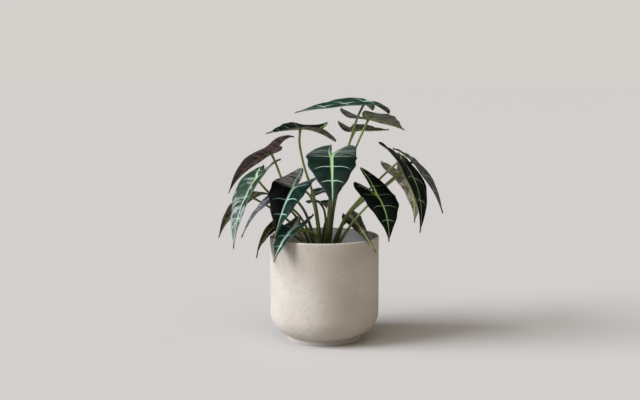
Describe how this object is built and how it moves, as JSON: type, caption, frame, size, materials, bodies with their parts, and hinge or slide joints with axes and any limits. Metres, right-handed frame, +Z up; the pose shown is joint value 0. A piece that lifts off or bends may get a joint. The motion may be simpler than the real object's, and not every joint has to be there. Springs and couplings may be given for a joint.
{
  "type": "potted alocasia",
  "caption": "House plant with arrow-shaped leaves on long stalks, rooted in soil in a plain cylindrical pot with a rounded foot.",
  "frame": {"origin": "centre of the pot's foot, on the surface the pot stands on", "axes": "+Z up along the pot's axis, -Y the front of the plant, +X its right-hand side seen from the front"},
  "size_m": [0.3326, 0.2345, 0.353],
  "materials": {
    "pot": "matte",
    "soil": "matte",
    "rootstock": "matte",
    "blade": "satin",
    "stalk": "satin"
  },
  "bodies": {
    "root": {"pot": "pot", "soil": "soil", "rootstock": "rootstock", "blade_01": "blade", "blade_02": "blade", "blade_03": "blade", "blade_04": "blade", "blade_05": "blade", "blade_06": "blade", "blade_07": "blade", "blade_08": "blade", "blade_09": "blade", "blade_10": "blade", "blade_11": "blade", "blade_12": "blade", "blade_13": "blade", "blade_14": "blade", "blade_15": "blade", "blade_16": "blade", "blade_17": "blade", "blade_18": "blade", "blade_19": "blade", "stalk_01": "stalk", "stalk_02": "stalk", "stalk_03": "stalk", "stalk_04": "stalk", "stalk_05": "stalk", "stalk_06": "stalk", "stalk_07": "stalk", "stalk_08": "stalk", "stalk_09": "stalk", "stalk_10": "stalk", "stalk_11": "stalk", "stalk_12": "stalk", "stalk_13": "stalk", "stalk_14": "stalk", "stalk_15": "stalk", "stalk_16": "stalk", "stalk_17": "stalk", "stalk_18": "stalk", "stalk_19": "stalk"}
  },
  "joints": []
}
